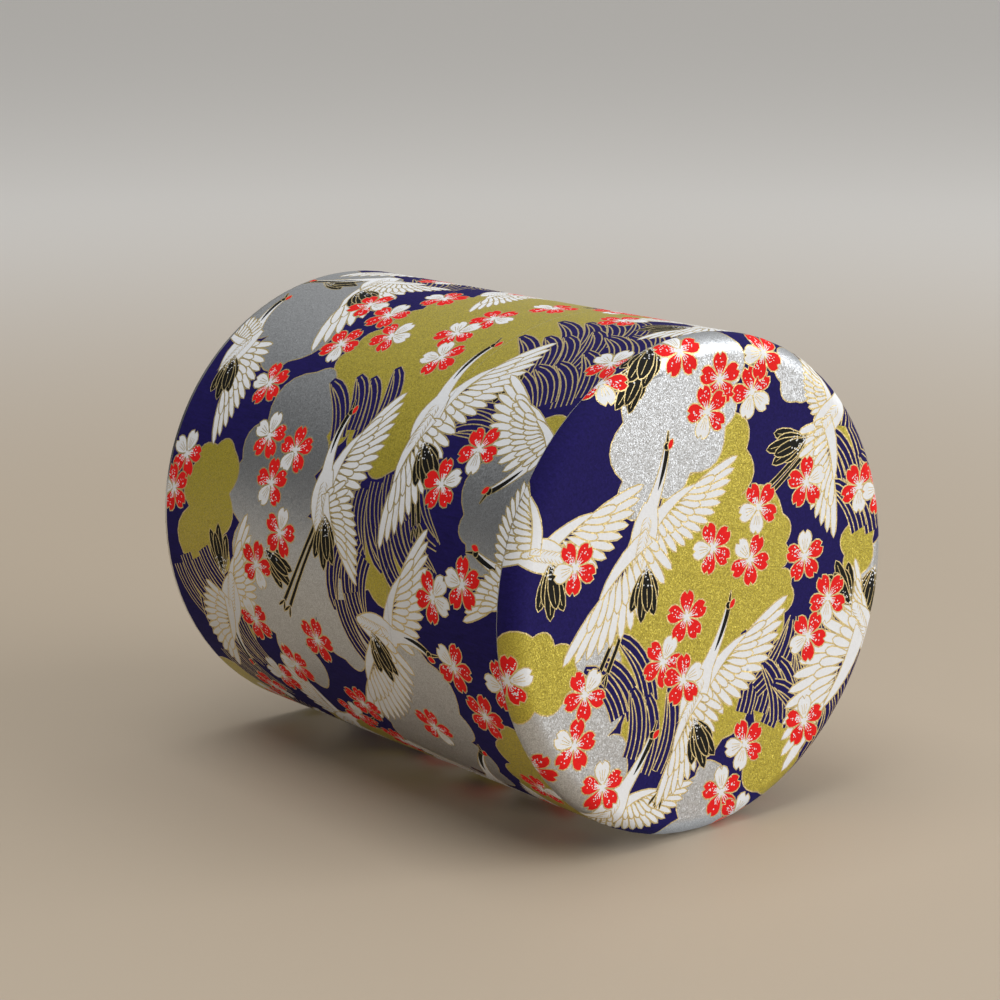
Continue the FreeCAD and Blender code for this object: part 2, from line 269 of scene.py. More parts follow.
for source, scale, socket in ((angle, ROLLED_SCALE, "A"), (reach, RINGED_SCALE, "B")):
    spot = add_node(grain, "ShaderNodeCombineXYZ")
    scaled = add_node(grain, "ShaderNodeVectorMath", {1: scale}, operation="MULTIPLY")
    wire(grain, source, "Value", spot, "X")
    wire(grain, split, "Z", spot, "Y")
    wire(grain, spot, "Vector", scaled, 0)
    wire(grain, scaled, "Vector", pick, socket)
wire(grain, grain_in, "Rings", pick, "Factor")
wire(grain, pick, "Result", lines, "Vector")
wire(grain, lines, "Fac", shade, "Value")
wire(grain, grain_in, "Colour", tint, "Vector")
wire(grain, shade, "Result", tint, "Scale")
for number, source, limits in ((0, lines, (0.3, 0.7, 0.16, 0.26)), (1, stains, (0.35, 0.7, 0.0, 0.12))):
    dull = ranged(grain, *limits)
    wire(grain, source, "Fac", dull, "Value")
    wire(grain, dull, "Result", rough, number)
wire(grain, lines, "Fac", lift, "Height")
wire(grain, tint, "Vector", grain_out, "Base Color")
wire(grain, rough, "Value", grain_out, "Roughness")
wire(grain, lift, "Normal", grain_out, "Normal")
print("tin_grain:", len(grain.nodes), "nodes")

# %% [markdown]
# ## Inks
#
# Flat inks sit in the paper, so they are rough and use the tooth. Powder inks lie on top as flakes. The
# thin gold lines are printed last and shine most after the silver. Each ink is one material, and the
# print's faces choose among them. A node group's outputs have the names of the shader's sockets, so one
# helper wires any of the effects to a shader.

# %% Make the ink materials
INKS = ("navy", "gold", "silver", "white", "red", "black", "line", "bare")
FLAT_INKS = {  # colour, mottle, roughness
    "navy": ((0.012, 0.0078, 0.090), 0.34, 0.74),
    "white": ((0.78, 0.80, 0.83), 0.05, 0.70),
    "red": ((0.78, 0.012, 0.012), 0.08, 0.66),
    "black": ((0.008, 0.008, 0.007), 0.30, 0.60),
    "bare": ((0.70, 0.68, 0.62), 0.08, 0.85),
}
FLAT_SHEEN = 0.12
POWDER_INKS = {  # colour, contrast, tilt, metallic
    "gold": ((0.47, 0.39, 0.045), 0.30, 0.45, 0.35),
    "silver": ((0.56, 0.585, 0.615), 0.22, 0.27, 0.94),
    "line": ((0.66, 0.53, 0.25), 0.25, 0.40, 0.66),
}
POWDER_ROUGHNESS = 0.38


def effect_material(name, group, values, finish):
    """A material whose shader takes each output of a node group at the socket of the same name."""
    material = bpy.data.materials.new(name)
    material.use_nodes = True
    tree = material.node_tree
    shader = tree.nodes["Principled BSDF"]
    for socket, value in finish.items():
        shader.inputs[socket].default_value = value
    effect = add_node(tree, "ShaderNodeGroup", values, node_tree=group)
    for output in effect.outputs:
        wire(tree, effect, output.name, shader, output.name)
    return material


def ink_material(name):
    if name in FLAT_INKS:
        colour, mottle, roughness = FLAT_INKS[name]
        values = {"Colour": (*colour, 1), "Mottle": mottle}
        finish = {"Roughness": roughness, "Specular IOR Level": FLAT_SHEEN}
        return effect_material("ink_" + name, tooth, values, finish)
    colour, contrast, tilt, metallic = POWDER_INKS[name]
    values = {"Colour": (*colour, 1), "Contrast": contrast, "Tilt": tilt}
    finish = {"Roughness": POWDER_ROUGHNESS, "Metallic": metallic}
    return effect_material("ink_" + name, flakes, values, finish)


ink_materials = [ink_material(name) for name in INKS]
print("inks:", ", ".join(INKS))

# %% [markdown]
# ## Bare tin
#
# The can's neck and inside, the base and the inner lid are bare. Tubes are rolled from sheet, the base,
# the lid's top and the inner lid are pressed, and the knob is turned and polished. The CAD shapes are
# right as they are, so only their materials are exchanged.

# %% Give the tin nodes their finishes
TIN = {  # colour, rings, nodes
    "rolled_tin": ((0.66, 0.65, 0.63), 0.0, ("inner_can", "outer_sleeve", "lid_wall")),
    "pressed_tin": ((0.68, 0.67, 0.65), 1.0, ("bottom_plate", "lid_top_plate", "inner_lid_dish")),
    "polished_tin": ((0.76, 0.75, 0.72), 1.0, ("inner_lid_knob", "knob_rivet")),
}
for finish, (colour, rings, nodes) in TIN.items():
    material = effect_material(finish, grain, {"Colour": (*colour, 1), "Rings": rings}, {"Metallic": 1.0})
    for name in nodes:
        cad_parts[name].material_slots[0].material = material
    print(finish, "on", ", ".join(nodes))

# %% [markdown]
# ## Drawing on a flat sheet
#
# A printed paper is drawn flat and then wrapped, so the motifs are made as flat outlines in millimetres.
# Every outline has an ink, and later outlines cover earlier ones, as with layers of paint. A few helpers
# give curves, bands along a curve, feather shapes, and a gold line round any outline.

# %% Outline helpers
LINE = 0.22
random.seed(11)


def polar(length, degrees):
    return Vector((length * math.cos(math.radians(degrees)), length * math.sin(math.radians(degrees))))


def bend(start, middle, end, steps):
    """Points of a curve that leaves start towards middle and comes to end."""
    points = []
    for step in range(steps + 1):
        t = step / steps
        points.append(start * (1 - t) ** 2 + middle * 2 * t * (1 - t) + end * t ** 2)
    return points


def signed_area(outline):
    return sum(a.x * b.y - b.x * a.y for a, b in zip(outline, outline[1:] + outline[:1])) / 2


def grown(outline, by):
    """The outline moved outwards by a distance."""
    side = 1 if signed_area(outline) > 0 else -1
    moved = []
    for number, point in enumerate(outline):
        way = (outline[(number + 1) % len(outline)] - outline[number - 1]).normalized()
        moved.append(point + Vector((way.y, -way.x)) * by * side)
    return moved


def ribbon(points, widths):
    """A band along points; widths are its full widths there."""
    left = []
    right = []
    for number, point in enumerate(points):
        ahead = points[min(number + 1, len(points) - 1)]
        behind = points[max(number - 1, 0)]
        way = (ahead - behind).normalized()
        across = Vector((-way.y, way.x)) * widths[number] / 2
        left.append(point + across)
        right.append(point - across)
    return left + right[::-1]


def leaf(length, width, belly=0.6, blunt=0.7, points=5):
    """A feather's outline from the origin along +x, widest at the share belly of its length."""
    power = math.log(0.5) / math.log(belly)
    upper = []
    for step in range(1, points):
        t = 1 - (1 - step / points) ** 1.6
        upper.append(Vector((length * t, width / 2 * math.sin(math.pi * t ** power) ** blunt)))
    lower = [Vector((point.x, -point.y)) for point in reversed(upper)]
    return [Vector((0, 0))] + upper + [Vector((length, 0))] + lower


def dot(centre, radius, points=4):
    return [centre + polar(radius, 360 * number / points) for number in range(points)]


def placed(shapes, at, degrees=0.0):
    """Shapes turned and moved to their place on the sheet."""
    cosine = math.cos(math.radians(degrees))
    sine = math.sin(math.radians(degrees))
    x, y = at
    result = []
    for ink, outline in shapes:
        turned = [Vector((x + p.x * cosine - p.y * sine, y + p.x * sine + p.y * cosine)) for p in outline]
        result.append((ink, turned))
    return result


def edged(ink, outline, line=LINE):
    """A filled outline with a gold line round it."""
    return [("line", grown(outline, line)), (ink, outline)]


print("gold lines are", LINE, "mm wide")

# %% [markdown]
# ## Blossom
#
# Each cherry blossom has five notched petals about 4 mm long, mostly red with one or two left white.
# White stipple spreads from its heart over the red petals, most of all on those beside a white one. Half
# a petal is given by six points as shares of its length, and the other half mirrors them.

# %% Draw a blossom
PETALS = 5
PETAL_TURN = 360 / PETALS
HALF_PETAL = ((0.14, 0.05), (0.33, 0.20), (0.53, 0.31), (0.74, 0.34), (0.90, 0.26), (1.0, 0.11))
NOTCH = 0.86
PETAL_LENGTH = 4.05
ALL_RED_TURN = 18
VEIN_LEANS = (-13, 0, 13)
STAMEN_LEANS = (-16, 0, 16)
STAMEN_WIDTHS = (0.17, 0.08)
SPECKS = 15
SPECKS_BY_WHITE = 30
SPECK_SPREAD = 19
SPECK_LEAN = 9
SPECK_SIZES = (0.09, 0.16)
HEART = 0.13


def petal(length):
    upper = [Vector((along * length, across * length)) for along, across in HALF_PETAL]
    lower = [Vector((point.x, -point.y)) for point in upper]
    return lower + [Vector((NOTCH * length, 0))] + upper[::-1]


def veins(length):
    """Three thin gold lines on a white petal."""
    shapes = []
    for lean in VEIN_LEANS:
        line = [polar(length * 0.25, lean), polar(length * 0.68, lean * 0.9)]
        shapes.append(("line", ribbon(line, [LINE * 0.5] * 2)))
    return shapes


def stamens(length):
    """Three white stamens at the root of a red petal."""
    shapes = []
    for lean in STAMEN_LEANS:
        line = [polar(length * 0.12, lean), polar(length * 0.42, lean)]
        shapes.append(("white", ribbon(line, STAMEN_WIDTHS)))
    return shapes


def blossom(white_towards=None, whites=1, length=PETAL_LENGTH):
    """A blossom, all red or with white petals; white_towards is the direction of the first white one."""
    shapes = []
    white = set(range(whites)) if white_towards is not None else set()
    for number in range(PETALS):
        ink = "white" if number in white else "red"
        shapes += placed(edged(ink, petal(length)), (0, 0), number * PETAL_TURN)
    for number in range(PETALS):
        turn = number * PETAL_TURN
        if number in white:
            shapes += placed(veins(length), (0, 0), turn)
            continue
        after_white = (number - 1) % PETALS in white
        before_white = (number + 1) % PETALS in white
        lean_to_white = SPECK_LEAN * (before_white - after_white)
        for speck in range(SPECKS_BY_WHITE if after_white or before_white else SPECKS):
            reach = length * (0.16 + 0.62 * random.random() ** 1.5)
            spot = polar(reach, turn + lean_to_white + random.uniform(-SPECK_SPREAD, SPECK_SPREAD))
            shapes.append(("white", dot(spot, random.uniform(*SPECK_SIZES))))
        shapes += placed(stamens(length), (0, 0), turn)
    shapes.append(("white", dot(Vector((0, 0)), length * HEART, 8)))
    return placed(shapes, (0, 0), ALL_RED_TURN if white_towards is None else white_towards)


print("a blossom is", len(blossom(90)), "outlines")

# %% [markdown]
# ## Crane
#
# A flying crane is built as a printmaker would cut it: a fan of long pinions along each wing's bone with
# shorter coverts laid over their roots, a slender body, a long neck with a black stripe and a red crown,
# and a tuft of black tail feathers with thin legs behind it. Directions are degrees on the sheet, so one
# crane function serves every pose.

# %% Draw a wing
# feathers in a row, share of the full length, width as a share of the span, first and last angle
WING_ROWS = ((12, 1.0, 0.062, 88, 5), (10, 0.50, 0.058, 94, 14))
ARM_WIDTHS = (0.11, 0.105, 0.09, 0.07, 0.05, 0.01)
BONE = 0.48
BONE_BOW = 0.04
INNER_PINION = 0.38
OUTER_GAIN = 0.18


def wing(span, side):
    """A spread wing along +x. side is 1 when its feathers point to the left of that, -1 to the right."""
    shapes = []
    bone = span * BONE
    for count, share, width, first, last in WING_ROWS:
        for number in range(count):
            t = number / (count - 1)
            root = Vector((bone * t, side * BONE_BOW * span * math.sin(math.pi * t)))
            angle = first + (last - first) * t ** 0.9
            length = span * (INNER_PINION + OUTER_GAIN * t ** 1.2) * share
            outline = leaf(length, span * width, belly=0.66, blunt=0.5)
            shapes += placed(edged("white", outline, LINE * 1.2), root, side * angle)
    shoulder = Vector((-0.03 * span, side * 0.05 * span))
    line = bend(shoulder, Vector((bone * 0.5, -side * 0.05 * span)), Vector((bone * 1.1, 0)), 5)
    return shapes + edged("white", ribbon(line, [span * share for share in ARM_WIDTHS]))


print("a wing is", len(wing(18, 1)), "outlines")

# %% Draw legs and a tail
LEG_WIDTHS = (0.68, 0.62, 0.56, 0.54, 0.58, 0.62)
LEG_EDGES = (1.0, 0.92, 0.86, 0.84, 0.88, 0.92)
TOE_LEANS = (-26, 10)
TAIL_LENGTH = 9.0
TAIL_ORDER = (0, 5, 1, 4, 2, 3)
TAIL_MIDDLE = 2.5
TAIL_SPREAD = 9
TAIL_SPECKS = 34
TAIL_SPECK_SPREAD = 40
TAIL_SPECK_SIZES = (0.10, 0.19)


def legs_of(start, direction, length):
    shapes = []
    for apart in (-0.5, 0.5):
        foot = start + polar(length, direction + apart * 5)
        knee = start + polar(length * 0.5, direction + 7) + polar(apart, direction + 90)
        line = bend(start + polar(apart, direction + 90), knee, foot, 5)
        shapes.append(("line", ribbon(line, LEG_EDGES)))
        shapes.append(("black", ribbon(line, LEG_WIDTHS)))
        for toe in TOE_LEANS:
            shapes += placed(edged("black", leaf(2.4, 0.4), LINE * 0.6), foot, direction + toe)
    return shapes


def tail_of(root, direction):
    """Black feathers, the outer ones first, with white specks over their roots."""
    shapes = []
    for number in TAIL_ORDER:
        length = TAIL_LENGTH - 0.7 * abs(number - TAIL_MIDDLE) - 1.5 * (number % 2)
        feather = edged("black", leaf(length, 2.0, belly=0.62, blunt=0.6), LINE * 0.8)
        midrib = [Vector((length * 0.5, 0)), Vector((length * 0.9, 0))]
        feather.append(("line", ribbon(midrib, [LINE * 0.5] * 2)))
        shapes += placed(feather, root, direction + (number - TAIL_MIDDLE) * TAIL_SPREAD)
    for speck in range(TAIL_SPECKS):
        reach = 0.3 + 3.4 * random.random() ** 1.4
        spot = root + polar(reach, direction + random.uniform(-TAIL_SPECK_SPREAD, TAIL_SPECK_SPREAD))
        shapes.append(("white", dot(spot, random.uniform(*TAIL_SPECK_SIZES))))
    return shapes


print("a pair of legs is", len(legs_of(Vector((0, 0)), 0, 14)), "outlines")

# %% Draw a crane
TAIL_SHIFT = 1.9
BODY_BACK = -5.4
BODY_LENGTH = 9.8
BODY_WIDTHS = (0.5, 2.2, 3.5, 4.4, 4.8, 4.7, 4.2, 3.4, 2.5)
NECK_STEPS = 9
NECK_WIDTH = 2.7
NECK_TAPER = 1.95
STRIPE_FROM = 3
STRIPE_WIDTHS = (0.10, 0.42, 0.60, 0.70, 0.74, 0.78, 0.80)
BREAST_TICKS = 10


def neck_and_head(chest, heading, neck, body):
    """The neck, head and body; neck is (direction, length, bow)."""
    way, length, bow = neck
    head = chest + polar(length, way)
    middle = chest + polar(length * 0.5, way) + polar(bow, way + 90)
    line = bend(chest - polar(1.2, heading), middle, head, NECK_STEPS)
    widths = [NECK_WIDTH - NECK_TAPER * (number / NECK_STEPS) ** 0.65 for number in range(NECK_STEPS + 1)]
    beak = ribbon([head + polar(0.2, way), head + polar(2.3, way + 14)], [0.5, 0.1])
    shapes = edged("black", beak, LINE * 0.7)
    shapes.append(("line", grown(body, LINE)))
    shapes += edged("white", ribbon(line, widths))
    shapes.append(("white", body))
    stripe = [point + polar(0.14 if bow > 0 else -0.14, way + 90) for point in line[STRIPE_FROM:]]
    shapes.append(("black", ribbon(stripe, STRIPE_WIDTHS)))
    shapes += edged("black", dot(head, 0.55, 8), LINE * 0.7)
    crown_root = head + polar(0.55, way - 90) - polar(0.4, way)
    crown = placed([("red", leaf(1.7, 0.9, belly=0.5))], crown_root, way - 6)
    return shapes + edged("red", crown[0][1], LINE * 0.7)


def breast_ticks(heading):
    """Short gold strokes down both sides of the breast."""
    shapes = []
    for number in range(BREAST_TICKS):
        along = -4.0 + 0.72 * number
        for side in (-1, 1):
            tick = bend(polar(along, heading) + polar(0.2 * side, heading + 90),
                        polar(along - 0.4, heading) + polar(0.9 * side, heading + 90),
                        polar(along - 1.5, heading) + polar(1.0 * side, heading + 90), 2)
            shapes.append(("line", ribbon(tick, [0.06, LINE * 0.75, 0.06])))
    return shapes


def crane(heading, wings, neck, tail=None, legs=None):
    """wings are (direction, span, side), the far one first; neck is (direction, length, bow); tail is a
    direction and legs are (direction, length)."""
    shapes = []
    if legs:
        shapes += legs_of(polar(-4.0, heading), *legs)
    far_way, far_span, far_side = wings[0]
    shapes += placed(wing(far_span, far_side), polar(1.4, heading) + polar(1.0, far_way), far_way)
    steps = len(BODY_WIDTHS) - 1
    line = [polar(BODY_BACK + BODY_LENGTH * number / steps, heading) for number in range(steps + 1)]
    shapes += neck_and_head(polar(4.2, heading), heading, neck, ribbon(line, BODY_WIDTHS))
    near_way, near_span, near_side = wings[1]
    shapes += placed(wing(near_span, near_side), polar(0.4, heading) + polar(0.7, near_way), near_way)
    if tail is not None:
        shapes += tail_of(polar(-3.6, heading) + polar(TAIL_SHIFT, near_way + 90 * near_side), tail)
    return shapes + breast_ticks(heading)


print("a crane without its tail is", len(crane(0, ((90, 18, 1), (270, 18, -1)), (0, 10, 1.2))), "outlines")

# %% [markdown]
# ## Clouds and streams
#
# Clouds are soft shapes with scalloped edges: given corners with round lobes between them. Streams
# are bundles of navy fingers with gold lines nested inside each other, like water running over stones.

# %% Draw clouds and streams
LOBE_STEPS = 6
FINGER_STEPS = 7
FINGER_END = 7.2


def cloud(ink, anchors, lobe=7.5, bulge=0.30):
    """A cloud with lobes about as long as lobe between its corners."""
    points = [Vector(anchor) for anchor in anchors]
    if signed_area(points) < 0:
        points.reverse()
    outline = []
    for a, b in zip(points, points[1:] + points[:1]):
        count = max(1, round((b - a).length / lobe))
        for part in range(count):
            start = a.lerp(b, part / count)
            end = a.lerp(b, (part + 1) / count)
            chord = end - start
            out = Vector((chord.y, -chord.x)) * bulge * 2
            outline += bend(start, (start + end) / 2 + out, end, LOBE_STEPS)[:-1]
    return edged(ink, outline)


def finger(length, width, curl):
    """One finger of running water along +x, turning by curl degrees."""
    shapes = []
    line = bend(Vector((0, 0)), Vector((length * 0.55, 0)), polar(length, curl), FINGER_STEPS)
    for share in (1.0, 0.52):
        cut = 1 - (1 - share) * 0.10
        widths = []
        for number in range(FINGER_STEPS + 1):
            widths.append(width * share * math.sqrt(1 - (number / FINGER_END) ** 4))
        inner = [point * cut for point in line]
        shapes.append(("line", ribbon(inner, [value + 2 * LINE for value in widths])))
        shapes.append(("navy", ribbon(inner, widths)))
    shapes.append(("line", ribbon([point * 0.86 for point in line], [LINE] * len(line))))
    return shapes


def stream(at, direction, count=4, length=13.0, width=3.3, curl=24.0):
    """Fingers of one stream, side by side."""
    shapes = []
    for number in range(count):
        row = number - (count - 1) / 2
        root = Vector(at) + polar(width * 0.92 * row, direction + 90)
        root += polar(-1.2 * (number % 2), direction)
        one = finger(length * (1 - 0.08 * (number % 3)), width, curl)
        shapes += placed(one, root, direction + row * 5)
    return shapes


print("a stream of four fingers is", len(stream((0, 0), 0)), "outlines")

# %% [markdown]
# ## Layout of the side paper
#
# The print repeats twice round the caddy. One repeat is laid out here, with x as the way round
# from the side that faces up in the photograph and y as the height. The clouds and streams come first,
# then a few loose plumes and the cranes, then the blossoms over everything.

# %% Lay out one repeat of the side
REPEAT = math.pi * RADIUS
SIDE_CLOUDS = (  # ink, corners
    ("gold", [(11, 36), (-5, 42), (-10, 52), (-10, 70), (7, 75), (21, 67), (33, 60), (43, 58), (42, 52),
              (38, 45), (41, 41), (36, 37), (29, 33), (24, 33), (18, 36)]),
    ("silver", [(30, 29), (31, 35), (40, 40), (53, 41), (61, 47), (67, 54), (75, 53), (75, 48), (68, 43),
                (70, 39), (75, 37), (83, 38), (83, 33), (75, 29), (67, 25), (57, 23), (47, 21), (40, 24)]),
    ("silver", [(70, 63), (70, 71), (78, 75), (84, 74), (91, 75), (97, 71), (96, 63), (96, 53), (88, 51),
                (82, 54), (78, 60)]),
    ("silver", [(2, -3), (-1, 12), (10, 22), (19, 24), (29, 20), (30, 13), (25, 10), (21, -3)]),
    ("gold", [(50, 8), (46, 13), (46, 18), (53, 19), (67, 17), (80, 20), (82, 11), (67, 7), (57, 8)]),
    ("gold", [(54, 57), (51, 60), (50, 66), (56, 67), (61, 65), (61, 58), (59, 55)]),
    ("silver", [(37, 79), (36, 85), (39, 95), (48, 95), (53, 87), (50, 80), (46, 78)]),
    ("gold", [(80, 84), (75, 95), (100, 95), (100, 83), (91, 80), (86, 82)]),
    ("gold", [(30, 84), (30, 91), (35, 91), (33, 84)]),
    ("gold", [(92, -2), (90, 8), (97, 13), (106, 12), (110, 6), (108, -3)]),
    ("gold", [(97, 26), (92, 34), (96, 46), (104, 50), (110, 44), (109, 34), (104, 27)]),
)
SIDE_STREAMS = (  # place, direction, fingers
    ((12, 79), 200, 4), ((20, 77), 195, 4), ((26, 84), 205, 4), ((14, 90), 205, 3), ((33, 79), 240, 2),
    ((38, 48), 182, 3), ((40, 43), 200, 1), ((46, 52), 350, 4), ((55, 54), 330, 3), ((44, 61), 10, 4),
    ((50, 63), 20, 3), ((64, 52), 10, 2), ((66, 8), 20, 4), ((74, 14), 350, 4), ((84, 10), 10, 3),
    ((104, 60), 10, 4), ((106, 70), 200, 3), ((98, 20), 330, 4), ((110, 24), 20, 3), ((3, 27), 200, 3),
)
SIDE_PLUMES = (((36, 88), 250), ((8, 4), 100), ((60, 30), 60), ((20, 70), 20), ((112, 56), 170))
SIDE_CRANES = (  # place, pose
    ((3.5, 14.2), dict(heading=200, wings=((20, 24, 1), (100, 15, -1)), neck=(310, 14, 2.5), tail=60)),
    ((28.5, 5.5), dict(heading=170, wings=((15, 18, 1), (250, 12, -1)), neck=(200, 9, 1.5), tail=20)),
    ((-4.0, 38.0), dict(heading=190, wings=((26, 15, 1), (150, 15, -1)), neck=(200, 9, 1.5))),
    ((71.2, 17.9), dict(heading=340, wings=((159, 17, -1), (331, 18, -1)), neck=(350, 10, -1.5), tail=190)),
    ((49.4, 43.8), dict(heading=183, wings=((156, 18.5, -1), (40, 15, 1)), neck=(183, 10, 1.2), tail=10,
                        legs=(329, 17))),
    ((33.3, 61.0), dict(heading=178, wings=((152, 19.5, -1), (355, 20, 1)), neck=(181, 12, 1.6), tail=42,
                        legs=(30, 14))),
    ((67.2, 59.6), dict(heading=83, wings=((154, 18.5, -1), (324, 23, 1)), neck=(84, 8, 1.8), tail=20)),
    ((33.0, 91.0), dict(heading=300, wings=((237, 20, 1), (243, 14, 1)), neck=(319, 9, 1.4))),
    ((-8.0, 86.0), dict(heading=160, wings=((350, 16, 1), (240, 14, 1)), neck=(170, 10, 1.4), tail=340)),
    ((100.0, 66.7), dict(heading=150, wings=((60, 18, -1), (250, 18, 1)), neck=(149, 12, 1.4), tail=330,
                         legs=(335, 13))),
    ((96.0, 31.0), dict(heading=130, wings=((185, 17, 1), (40, 19, -1)), neck=(110, 10, 1.4), tail=310)),
    ((54.3, 95.0), dict(heading=240, wings=((200, 14, 1), (300, 14, -1)), neck=(262, 9, 1.2))),
    ((107.0, 6.0), dict(heading=60, wings=((130, 16, -1), (350, 17, 1)), neck=(70, 10, 1.4), tail=240)),
    ((110.0, 84.0), dict(heading=250, wings=((190, 16, 1), (320, 16, -1)), neck=(240, 10, 1.4), tail=70)),
)
SIDE_BLOSSOMS = (  # x, y, direction and number of white petals
    (12.8, 23.8, 90), (14.8, 31.3, 180), (19.6, 37.9, 90, 2), (23.6, 28.8, 18), (33.7, 19.2, 270),
    (5.9, 35, 270), (1.1, 56.7, 270), (9.9, 52.5, 90), (16, 50.4, 150, 2), (22, 53.3, 210, 2),
    (42.2, 25.8, 180, 2), (43.4, 33.8, 330), (49.4, 30, 330), (56.7, 34.2, 170), (63.1, 27.5, 18),
    (73.6, 23.8, 200), (80.9, 30.8, 270), (73.2, 41.3), (85.7, 22.9, 200, 2), (83.7, 65.4, 20),
    (36.1, 75.4, 10), (42.6, 70.8, 120), (59.1, 73.8, 70, 2), (55.9, 80.4, 260), (69.2, 77.5, 230),
    (69.6, 88.8, 270), (76.4, 82.1), (91.3, 85, 90), (1.1, 72.9, 130), (16, 86.7, 180, 2),
    (48.6, 5, 170, 2), (54.7, 2.9, 270), (92, 14, 40), (98, 8, 210), (95, 47, 90), (103, 52, 190, 2),
    (112, 38, 300), (90, 40, 150), (112, 72, 100), (115, 65, 10), (116, 20, 60, 2), (103, 78, 330),
    (85, 46), (-6.5, 63, 200), (-13, 57.5, 20, 2),
)
print("one repeat:", len(SIDE_CRANES), "cranes and", len(SIDE_BLOSSOMS), "blossoms")

# %% Stack the side's layers
def layers_of(clouds, streams, plumes, cranes, blossoms):
    """The print's layers from the lowest to the highest, each a list of inked outlines."""
    return (
        [shape for ink, anchors in clouds for shape in cloud(ink, anchors)],
        [shape for at, direction, count in streams for shape in stream(at, direction, count)],
        [shape for at, direction in plumes for shape in tail_of(Vector(at), direction)],
        [shape for at, parts in cranes for shape in placed(crane(**parts), at)],
        [shape for x, y, *white in blossoms for shape in placed(blossom(*white), (x, y))],
    )


side_shapes = []
for layer in layers_of(SIDE_CLOUDS, SIDE_STREAMS, SIDE_PLUMES, SIDE_CRANES, SIDE_BLOSSOMS):
    for turn in (-1, 0, 1):
        side_shapes += placed(layer, (turn * REPEAT, 0))
print("three repeats of the side have", len(side_shapes), "outlines")

# %% [markdown]
# ## Layout of the lid's top
#
# The top is a separate round of the same paper. Here x runs across the round and y towards the side that
# faces up, both from its middle. The paper reaches 40 mm from the middle, because it is drawn down over
# the edge.

# %% Lay out the top
TOP_CLOUDS = (  # ink, corners
    ("gold", [(3.5, 26.5), (6.9, 20.5), (5.9, 13.5), (14.9, 9.4), (15.7, 4.7), (14.9, 0.8), (17, -2),
              (15.7, -6.3), (11, -11), (8, -17), (3, -24), (-5, -24), (-13.4, -24), (-16.5, -16),
              (-20, -8), (-20.4, -2.4), (-16.5, 4), (-10.2, 12.6), (-4, 18)]),
    ("silver", [(-17.7, 27.5), (-13.4, 34), (-4, 40), (4, 38), (3.5, 30), (2.4, 24.5), (-4.5, 18.5),
                (-12, 16.5), (-16, 13), (-17.7, 19)]),
    ("silver", [(-37, -12.6), (-27.5, -8), (-20.4, -4.7), (-19, -11), (-20.4, -19), (-16.5, -23),
                (-23.6, -32), (-33, -26), (-37, -18)]),
    ("gold", [(-41, -3), (-34.6, -1.6), (-30.6, -3.5), (-26.7, -7), (-28.3, -11), (-40, -14)]),
    ("silver", [(28.3, -8.6), (29, -4.7), (34.6, 0.8), (41, 0), (40, -8), (31.4, -15.7), (28.3, -14)]),
    ("gold", [(29, 0.8), (29.8, 5.5), (33, 6.3), (35, 2.4), (31.4, -3)]),
    ("gold", [(27.5, 26), (32, 24), (33, 19), (29, 17)]),
    ("gold", [(8, -29), (11, -25), (14.9, -15.7), (18.8, -15.7), (17.3, -23.6), (18.8, -27.5),
              (17.3, -33), (11, -34.2)]),
    ("silver", [(14, 35), (19, 32), (20.4, 28.3), (17.3, 26.7), (14, 30)]),
    ("silver", [(-2.4, -29), (1.6, -27.5), (3, -33), (-2.4, -42), (-9, -41)]),
)
TOP_STREAMS = (  # place, direction, fingers
    ((-15, -16), 100, 3), ((-13, -25), 60, 3), ((12, -22), 60, 4), ((9, -16), 30, 2), ((18, -24), 80, 3),
    ((26, -26), 95, 4), ((28, -18), 70, 3), ((30, 13), 100, 3), ((35, 5), 100, 3), ((22, -32), 40, 3),
    ((30, 22), 70, 2),
)
TOP_PLUMES = (((-13.5, 36), 232), ((-10, 39), 225), ((36, -2), 250))
TOP_CRANES = (  # place, pose
    ((-33.0, 10.2), dict(heading=165, wings=((22, 20, -1), (96, 15, 1)), neck=(190, 9, 1.2), tail=275)),
    ((24.5, 23.2), dict(heading=40, wings=((115, 11, 1), (277, 18, -1)), neck=(35, 9, 1.2), tail=190,
                        legs=(215, 16))),
    ((34.0, -12.0), dict(heading=300, wings=((102, 12, 1), (230, 25, -1)), neck=(330, 9, 1.2), tail=120)),
    ((-13.4, 10.5), dict(heading=75, wings=((26, 18, -1), (226, 22, 1)), neck=(70, 9, -1.0), tail=268,
                         legs=(247, 17))),
    ((-19.5, -31.0), dict(heading=52, wings=((3, 14, -1), (205, 12, 1)), neck=(52, 9, -0.8), tail=240)),
    ((-2.7, -15.7), dict(heading=58, wings=((33, 19.5, -1), (242, 17, 1)), neck=(64, 10, -0.9), tail=290,
                         legs=(246, 12))),
)
TOP_BLOSSOMS = (  # x, y, direction and number of white petals
    (1.2, 31.8), (-1.2, 27.2, 250), (7.9, 29.1, 250, 2), (10.2, 34.8, 180), (-6.5, 36.8, 90),
    (-26.7, 7.5, 190), (0.4, 6.3, 180), (9.8, 11.2, 190, 2), (8.2, 3.3, 130), (-4.7, -3.5),
    (-9.4, -9.6, 60), (-5.2, -13.2, 18), (-24.7, -11.8, 50), (-26.7, -19.2, 150), (-21.2, -26.7, 90),
    (20, 13.7, 18), (31.8, 11.4, 270), (36.6, 10.4, 180), (20, 2, 90), (25.5, -5.5, 260), (21.2, -11, 200),
    (20.8, -24.7, 90), (7.9, -25.9, 180, 2), (3.1, -32.6, 90), (6.5, -37.5, 60), (-38.5, -8, 18),
    (-33.4, -23.6, 140), (-20.5, 34.5, 270),
)
top_shapes = []
